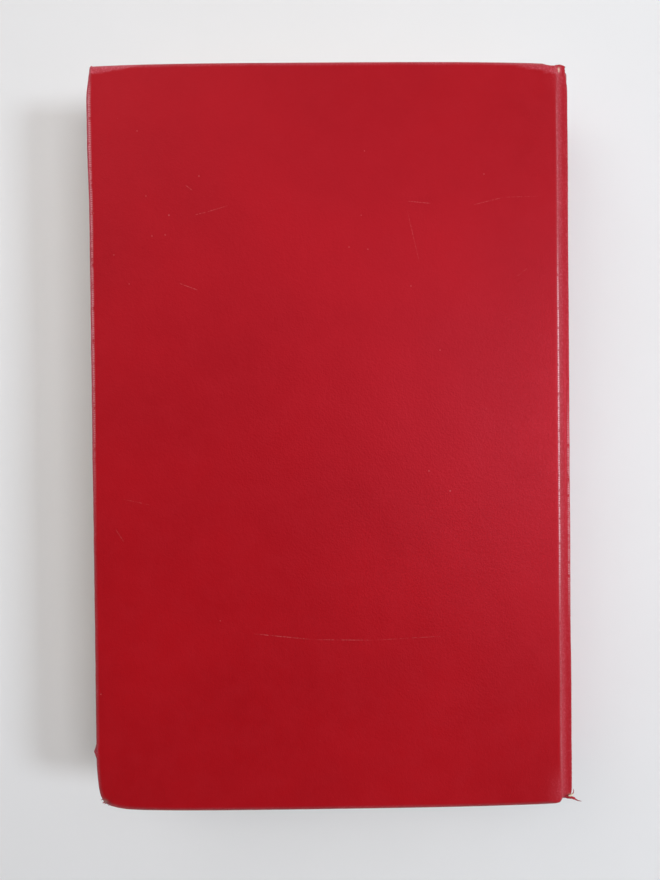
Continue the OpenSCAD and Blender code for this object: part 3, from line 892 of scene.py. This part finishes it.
ribbon("torn_strip", [(66.9, -109.3, 31.0), (68.4, -109.35, 31.15), (69.9, -109.75, 31.1), (71.3, -110.6, 30.9), (72.6, -111.0, 30.8)],
       (0.9, 1.15, 0.8, 0.42, 0.10), "text_block", M_CLOTH2, 0.3, {"darkening": 0.9, "wear_and_highlight": 0.3})
ribbon("torn_point", [(69.35, -108.9, 30.9), (69.9, -108.4, 31.1), (70.15, -107.6, 31.1), (70.05, -107.0, 31.0)],
       (0.3, 0.35, 0.22, 0.06), "text_block", M_CLOTH2, 0.2, {"darkening": 0.3, "wear_and_highlight": 0.8}, 3)
ribbon("bare_card", [(68.5, -109.0, 31.3), (69.3, -108.8, 31.38), (69.95, -108.45, 31.3)],
       (0.3, 0.75, 0.35), "text_block", M_CARD, 0.3, None, 5)
for _k, (_p, _w) in enumerate([
        ([(-70.6, -108.2, 31.5), (-71.3, -108.75, 31.6), (-71.9, -108.95, 31.7)], (0.9, 0.6, 0.08)),
        ([(-70.4, -108.6, 31.3), (-71.0, -109.2, 31.3), (-71.4, -109.45, 31.4)], (0.7, 0.45, 0.06)),
        ([(-71.4, -107.4, 31.8), (-71.9, -107.8, 31.9), (-72.3, -107.9, 32.0)], (0.5, 0.3, 0.06)),
        ([(-69.4, -109.0, 31.2), (-70.0, -109.8, 31.1), (-70.3, -110.1, 31.1)], (0.6, 0.4, 0.06))]):
    ribbon("fray_%d" % _k, _p, _w, "back_cover", M_CLOTH2, 0.12, {"darkening": (0.8, 0.3, 0.6, 0.9)[_k], "wear_and_highlight": (0.4, 1.0, 0.5, 0.2)[_k]}, 10 + _k)


# ------------------------------------------------------------------ boards and spine card, inside the covering
def board_piece(back):
    a, p, _ = nodes_along(1, 0.9, 0.8, 2.5, 6, 5)
    xs = X0 + 0.38 + np.concatenate([a[a < 8], np.linspace(9, XB - 0.9 - X0 - 1.2, 20)])
    T = len(YN[::2])
    S = len(xs)
    X = np.repeat(xs[:, None], T, 1)
    h = head_end(xs - 0.38, back) - 0.38
    t = tail_end(xs - 0.38, back) + 0.38
    u = YN[::2] / YN[-1]
    Y = t[:, None] + (h - t)[:, None] * u[None]
    B = np.clip(outline_distance(X, Y, back) - 0.36, 0, None)
    R = 0.9
    d = np.where(B < R, R - np.sqrt(np.clip(R * R - (R - B) ** 2, 0, None)), 0)
    drop = np.zeros_like(X)
    if back:
        bh = h[:, None] - Y
        w = 2.9 * np.clip(1 - (X - X0) / 17.0, 0, 1) ** 0.85
        drop += 0.46 * np.clip(w - bh, 0, None)
        w = 3.9 * np.clip(1 - (66.2 - X) / 17.5, 0, 1) ** 1.25
        drop += 0.42 * np.clip(w - bh, 0, None) * (X > 48)
        cr = np.hypot((X - X0) * 1.0, (Y + HY) * 0.8)
        drop += 0.65 * (1 - sm(cr / 9.5))
    Zt = TOP - 0.50 - d - drop
    Zb = np.minimum(ZIN + 0.30 + d, Zt - 0.2)
    if not back:
        Zt, Zb = TOP - Zt, TOP - Zb
    v = np.vstack([np.stack([X, Y, Zt], -1).reshape(-1, 3), np.stack([X, Y, Zb], -1).reshape(-1, 3)])
    ob = build("back_board_piece" if back else "front_board_piece", v, shell_faces(S, T), M_BOARD, flip=not back)
    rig.replaces(ob, "back_board" if back else "front_board")
    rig.ride(ob, "back_cover" if back else "front_cover")
    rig.slot(ob, "board")
    return ob


board_piece(True)
board_piece(False)


def arc_piece(name, r_out, r_in, cx, half, y0, y1, material, slot, node, ragged=0.0, ny=60):
    ang = np.linspace(-math.asin(half / r_out), math.asin(half / r_out), 29)
    ys = np.linspace(y0, y1, ny)
    A, Y = np.meshgrid(ang, ys, indexing="ij")
    Y = Y.copy()
    if ragged:
        Y[:, 0] += ragged * fbm(A[:, 0] * 26, 0 * A[:, 0], 3, 1.6)
        Y[:, -1] += ragged * 0.4 * fbm(A[:, -1] * 26, 0 * A[:, 0], 8, 1.6)
    O = np.stack([cx + r_out * np.cos(A), Y, MIDZ + r_out * np.sin(A)], -1).reshape(-1, 3)
    I = np.stack([cx + r_in * np.cos(A), Y, MIDZ + r_in * np.sin(A)], -1).reshape(-1, 3)
    ob = build(name, np.vstack([O, I]), shell_faces(len(ang), ny), material, flip=True)
    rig.replaces(ob, node)
    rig.ride(ob, "text_block")
    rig.slot(ob, slot)
    return ob


arc_piece("spine_card_piece", RO - 0.36, RO - 0.78, CXO, 11.2, -108.3, 108.5, M_CARD, "spine_card", "spine_inlay", 0.25)


# ------------------------------------------------------------------ pastedowns and the endpapers' gutters
def pastedown_piece(back):
    xs = np.concatenate([[X0 + 3.0], np.linspace(X0 + 3.2, X0 + 13, 6), np.linspace(X0 + 13.6, X0 + 17.4, 9), np.linspace(X0 + 19, XB - 4, 40), np.linspace(XB - 3.4, XB - 0.15, 7)])
    ys = np.concatenate([[-LEAF_Y], np.linspace(-LEAF_Y + 0.2, -LEAF_Y + 10, 6), np.linspace(-LEAF_Y + 10.6, -LEAF_Y + 14.4, 9), np.linspace(-LEAF_Y + 16, LEAF_Y - 16, 60),
                         np.linspace(LEAF_Y - 14.4, LEAF_Y - 10.6, 9), np.linspace(LEAF_Y - 10, LEAF_Y - 0.2, 6), [LEAF_Y]])
    X, Y = np.meshgrid(xs, ys, indexing="ij")
    X = X + 0.12 * fbm(X, Y, 4.0, 30) * (X < X0 + 4)
    # the turned-in cloth shows through as a low step
    step = sm((X - X0 - 15.3) / 1.6) * sm((LEAF_Y - 12.4 - Y) / 1.6) * sm((LEAF_Y - 12.4 + Y) / 1.6)
    Z = ZIN - 0.19 + 0.16 * step + 0.02 * fbm(X, Y, 1.0, 12)
    Zu = Z + 0.14
    if not back:
        Z, Zu = TOP - Z, TOP - Zu
    S, T = X.shape
    v = np.vstack([np.stack([X, Y, Zu], -1).reshape(-1, 3), np.stack([X, Y, Z], -1).reshape(-1, 3)])
    side = "back" if back else "front"
    ob = build(side + "_pastedown_piece", v, shell_faces(S, T), M_END, flip=not back)
    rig.replaces(ob, side + "_pastedown")
    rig.ride(ob, side + "_cover")
    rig.slot(ob, "endpaper")


def gutter_piece(back):
    """The endpaper from the leaves, round the gutter and out on to the board."""
    path = catmull([(66.75, 29.50), (67.08, 29.56), (67.35, 29.82), (67.15, 30.10), (66.6, 30.22), (66.15, 30.12), (65.85, 29.86), (65.0, 29.72)], 60)
    tx, tz = np.gradient(path[:, 0]), np.gradient(path[:, 1])
    ln = np.hypot(tx, tz)
    nx, nz = -tz / ln, tx / ln
    ys = np.linspace(-LEAF_Y, LEAF_Y, 50)
    h = 0.07
    O = np.stack([np.repeat((path[:, 0] + nx * h)[:, None], 50, 1), np.repeat(ys[None], len(path), 0), np.repeat((path[:, 1] + nz * h)[:, None], 50, 1)], -1)
    I = np.stack([np.repeat((path[:, 0] - nx * h)[:, None], 50, 1), np.repeat(ys[None], len(path), 0), np.repeat((path[:, 1] - nz * h)[:, None], 50, 1)], -1)
    v = np.vstack([O.reshape(-1, 3), I.reshape(-1, 3)])
    if not back:
        v[:, 2] = TOP - v[:, 2]
    side = "back" if back else "front"
    ob = build(side + "_gutter_piece", v, shell_faces(len(path), 50), M_END, flip=not back)
    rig.replaces(ob, side + "_endpaper_joint")
    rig.slot(ob, "endpaper")
    z = lambda q: (q if back else TOP - q) / 1000
    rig.blend(ob, "text_block", side + "_cover", start=(0.0672, 0, z(29.62)), end=(0.0668, 0, z(30.25)))


for b in (True, False):
    pastedown_piece(b)
    gutter_piece(b)


# ------------------------------------------------------------------ the leaves
_apex = {i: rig.box(f"signature_{i:02d}" + ("_fold" if i in (1, 2, 3, 14, 15, 16) else ""))[1][0] * 1000 for i in range(1, 17)}
_low = {i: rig.box(f"signature_{i:02d}")[0][2] * 1000 for i in range(1, 17)}
_mids = np.array([_low[i] + SEC_T / 2 for i in range(1, 17)])
_apx = np.array([_apex[i] for i in range(1, 17)])
LEAF_W = (_l[1][0] - _l[0][0])


def apex_at(z):
    return np.interp(z, _mids, _apx)


def shoulder_flare(i):
    """How far a section's folded back is bent outwards over the shoulder."""
    m = (_mids[i - 1] - MIDZ) / (_mids[-1] - MIDZ)
    return 0.85 * np.sign(m) * abs(m) ** 4


def section(i, per=12):
    moving = i in (1, 2, 3, 14, 15, 16)
    z0 = _low[i]
    zm = z0 + SEC_T / 2
    rng = np.random.default_rng(100 + i)
    off = rng.normal(0, 0.07)
    offy = rng.normal(0, 0.05)
    t = SEC_T / per
    verts, faces, edge = [], [], []
    nb = 0
    ny = 9
    for k in range(per):
        zc = z0 + (k + 0.5) * t
        xa = apex_at(zc) - LEAF_W + off + rng.normal(0, 0.035)
        r = SEC_T / 2
        xe = _apex[i] - r + math.sqrt(max(0.0, r * r - (zc - zm) ** 2)) * 0.98
        y1 = LEAF_Y - 0.02 + offy + rng.normal(0, 0.03)
        y0 = -LEAF_Y + 0.02 + offy + rng.normal(0, 0.03)
        xs = np.concatenate([[xa, xa + 0.6, xa + 3], np.linspace(xa + 14, 55, 6), np.linspace(57.0, 66.4, 14), [xe - (xe - 66.4) * 0.45, xe]])
        xs = np.unique(np.clip(xs, xa, xe))
        ys = np.concatenate([[y0, y0 + 0.8], np.linspace(y0 + 8, y1 - 8, ny - 4), [y1 - 0.8, y1]])
        X, Y = np.meshgrid(xs, ys, indexing="ij")
        th = t * 0.455
        # leaves fan very slightly at the fore-edge corners
        lift = 0.02 * fbm(X * 0.3, Y, i * 3.0, 25) * sm((45 - X) / 60)
        fl = shoulder_flare(i) * sm((X - 64.6) / 3.4) ** 1.3
        base = zc + lift * (1 if 1 < i < 16 else 0.3) + fl
        Zt, Zb = base + th, base - th
        S, T = X.shape
        v = np.vstack([np.stack([X, Y, Zt], -1).reshape(-1, 3), np.stack([X, Y, Zb], -1).reshape(-1, 3)])
        faces += shell_faces(S, T, nb, nb + S * T)
        e = np.exp(-np.minimum(np.minimum(X - xa, (y1 - Y)), Y - y0) / 1.2)
        edge.append(np.concatenate([e.ravel(), e.ravel()]))
        verts.append(v)
        nb += len(v)
    ob = build(f"section_{i:02d}_leaves", np.vstack(verts), faces, M_LEAF, smooth=False, attrs={"edge": np.concatenate(edge)})
    if moving:
        j = J[f"section_{i:02d}_turn"]
        ax, az = j["pos_m"][0], j["pos_m"][2]
        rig.replaces(ob, f"signature_{i:02d}", f"signature_{i:02d}_fold")
        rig.blend(ob, "text_block", f"section_{i:02d}", start=(ax + 0.0022, 0, az), end=(ax - 0.0036, 0, az))
    else:
        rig.replaces(ob, f"signature_{i:02d}")
        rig.ride(ob, "text_block")
    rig.slot(ob, "leaves")
    return ob


for i in range(1, 17):
    section(i)


def flyleaf_piece(back):
    side = "back" if back else "front"
    lo, hi = [np.array(v) * 1000 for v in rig.box(side + "_flyleaf")]
    xs = np.concatenate([[lo[0] + 0.05], np.linspace(lo[0] + 1, 40, 30), np.linspace(42, hi[0], 14)])
    ys = np.linspace(-LEAF_Y, LEAF_Y, 60)
    X, Y = np.meshgrid(xs, ys, indexing="ij")
    zc = (lo[2] + hi[2]) / 2
    Zt = zc + 0.07 + 0.015 * fbm(X, Y, 2.0, 22)
    Zb = Zt - 0.14
    S, T = X.shape
    v = np.vstack([np.stack([X, Y, Zt], -1).reshape(-1, 3), np.stack([X, Y, Zb], -1).reshape(-1, 3)])
    ob = build(side + "_flyleaf_piece", v, shell_faces(S, T), M_END)
    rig.replaces(ob, side + "_flyleaf")
    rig.slot(ob, "endpaper")
    ax = J[side + "_flyleaf_turn"]["pos_m"]
    k = "section_16" if back else "section_01"
    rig.blend(ob, k, side + "_flyleaf", start=(ax[0] + 0.0005, 0, ax[2]), end=(ax[0] - 0.007, 0, ax[2]))


flyleaf_piece(True)
flyleaf_piece(False)


# ------------------------------------------------------------------ head and tail bands
def band_piece(s):
    node = "head_band" if s > 0 else "tail_band"
    lo, hi = [np.array(v) * 1000 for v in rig.box(node)]
    half = (hi[2] - lo[2]) / 2 - 0.4
    rad = 21.25
    cx = 49.6
    n = 220
    ang = np.linspace(-math.asin(half / rad), math.asin(half / rad), n)
    run = (ang - ang[0]) * rad
    yc = s * (LEAF_Y + 0.72)
    nr = 12
    verts, faces, at = [], [], []
    for k, a in enumerate(ang):
        rib = 0.62 + 0.05 * math.sin(run[k] / 0.42 * 2 * math.pi)
        if k in (0, n - 1):
            rib *= 0.5
        for m in range(nr):
            th = 2 * math.pi * m / nr
            r = rad + rib * 0.95 * math.cos(th)
            verts.append((cx + r * math.cos(a), yc + rib * math.sin(th), MIDZ + r * math.sin(a)))
            at.append(run[k] / 1000 + 0.00018 * math.sin(th))
    for k in range(n - 1):
        for m in range(nr):
            m2 = (m + 1) % nr
            faces.append((k * nr + m, k * nr + m2, (k + 1) * nr + m2, (k + 1) * nr + m))
    faces.append(tuple(range(nr))[::-1])
    faces.append(tuple((n - 1) * nr + m for m in range(nr)))
    ob = build(node + "_piece", verts, faces, M_BAND, attrs={"run": at}, flip=True)
    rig.replaces(ob, node)
    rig.ride(ob, "text_block")
    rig.slot(ob, "band")


band_piece(1)
band_piece(-1)

# ------------------------------------------------------------------ carried-over pieces
for node, m in (("spine_mull", M_MULL), ("front_mull_flap", M_MULL), ("back_mull_flap", M_MULL), ("spine_lining", M_KRAFT),
                ("spine_glue", M_GLUE), ("sewing_thread", M_THREAD)):
    o = frame["nodes"][node]
    o.data.materials.clear()
    o.data.materials.append(m)

# ------------------------------------------------------------------ stage, light, camera
CZ = TOP / 1000


def area(name, loc, target, size, power, colour=(1, 1, 1), size_y=None):
    l = bpy.data.lights.new(name, "AREA")
    l.energy, l.color = power, colour
    l.shape = "RECTANGLE" if size_y else "SQUARE"
    l.size = size
    if size_y:
        l.size_y = size_y
    o = bpy.data.objects.new(name, l)
    bpy.context.scene.collection.objects.link(o)
    o.location = loc
    o.rotation_mode = "QUATERNION"
    o.rotation_quaternion = (Vector(target) - Vector(loc)).to_track_quat("-Z", "Y")
    return o


def floor():
    m, nt, bs = mat("table")
    n = N(nt)
    p = n.coord()
    a = n.noise(p, 9.0, 4.0, 0.6)
    tone = n.mix(n.range(a, 0.3, 0.7), (0.752, 0.746, 0.746), (0.776, 0.770, 0.775))
    high = n.xyz(p)[2]
    nt.links.new(n.mix(n.range(high, 0.5, 2.2), tone, (0.10, 0.10, 0.10)), bs.inputs["Base Color"])
    nt.links.new(n.range(n.noise(p, 400.0, 3.0), 0.3, 0.7, 0.55, 0.62), bs.inputs["Roughness"])
    bs.inputs["Specular IOR Level"].default_value = 0.3
    prof = [(r, 0.0) for r in (0.0, 0.12, 0.3, 0.6, 1.0, 1.5)]
    prof += [(1.5 + 0.75 * math.sin(a), 0.75 * (1 - math.cos(a))) for a in np.linspace(0.08, 1.45, 16)] + [(2.26, h) for h in (0.85, 1.1, 1.4, 1.8, 2.2, 2.6)]
    seg = 96
    vs_, fs_ = [(0.0, 0.0, 0.0)], []
    for r, h in prof[1:]:
        vs_ += [(r * math.cos(2 * math.pi * k / seg), r * math.sin(2 * math.pi * k / seg), h) for k in range(seg)]
    for k in range(seg):
        fs_.append((0, 1 + k, 1 + (k + 1) % seg))
    for q in range(len(prof) - 2):
        for k in range(seg):
            k2 = (k + 1) % seg
            i0, i1 = 1 + q * seg, 1 + (q + 1) * seg
            fs_.append((i0 + k, i1 + k, i1 + k2, i0 + k2))
    me = bpy.data.meshes.new("floor")
    me.from_pydata(vs_, [], fs_)
    me.shade_smooth()
    o = bpy.data.objects.new("floor", me)
    bpy.context.scene.collection.objects.link(o)
    glow = n.math("MULTIPLY", n.range(high, 0.02, 0.50), n.range(high, 0.55, 1.9, 1.0, 0.0))
    nt.links.new(n.mix(glow, (0, 0, 0), (0.18, 0.188, 0.20)), bs.inputs["Emission Color"])
    bs.inputs["Emission Strength"].default_value = 1.0
    o.location.z = -0.0002
    me.materials.append(m)
    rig.stage(o)


floor()

def light(name, az, el, dist, size, power, tint):
    a, e = math.radians(az), math.radians(el)
    return area(name, (dist * math.cos(e) * math.cos(a), dist * math.cos(e) * math.sin(a), dist * math.sin(e) + 0.01),
                (0, 0, 0.01), size, power, tint)


light("window_right", 0, 45, 1.15, 0.22, 5.3, (0.915, 1.0, 1.09))
light("window_upper", 0, 68, 1.2, 0.45, 5.0, (1.0, 0.995, 0.99))
light("head_right", 45, 45, 1.2, 0.8, 1.1, (1.0, 0.99, 1.0))
light("head_upper", 90, 68, 0.9, 0.34, 0.80, (1.03, 1.0, 0.97))
light("head_low", 90, 24, 1.2, 0.6, 0.7, (1.05, 1.0, 0.95))
light("head_left", 135, 45, 0.9, 0.6, 2.0, (1.05, 1.0, 0.96))
light("left_low", 180, 22, 1.2, 0.6, 0.45, (1.0, 1.0, 1.0))
light("left_upper", 180, 68, 1.2, 0.45, 0.55, (1.0, 1.0, 1.0))
light("tail_fill", -90, 40, 1.2, 0.8, 0.2, (0.92, 0.98, 1.08))

# a room that is lighter near the horizon and dark overhead
w = bpy.data.worlds.new("studio")
bpy.context.scene.world = w
w.use_nodes = True
wn = N(w.node_tree)
tc = w.node_tree.nodes.new("ShaderNodeTexCoord")
wz = wn.xyz(tc.outputs["Generated"])[2]
w.node_tree.links.new(wn.ramp(wn.math("ABSOLUTE", wz), (0.0, (0.58, 0.62, 0.68)), (0.30, (0.37, 0.40, 0.44)), (0.50, 0.02)),
                      w.node_tree.nodes["Background"].inputs[0])
w.node_tree.nodes["Background"].inputs[1].default_value = 0.34

cam = bpy.data.cameras.new("camera")
cam.lens, cam.sensor_width = 27.04, 36.0
cam.clip_start, cam.clip_end = 0.01, 20
co = bpy.data.objects.new("camera", cam)
bpy.context.scene.collection.objects.link(co)
co.location = (-0.00404, 0.00109, 0.22953)
co.rotation_euler = (math.radians(-0.52), math.radians(-0.45), math.radians(-0.578))
bpy.context.scene.camera = co

vs = bpy.context.scene.view_settings
vs.view_transform = "Standard"
vs.look = "None"
vs.exposure = 0.0
vs.gamma = 1.0

with open("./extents.json", "w") as f:
    json.dump({"cad": CAD_BOX, "visual": [list(v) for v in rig.bounds()]}, f)
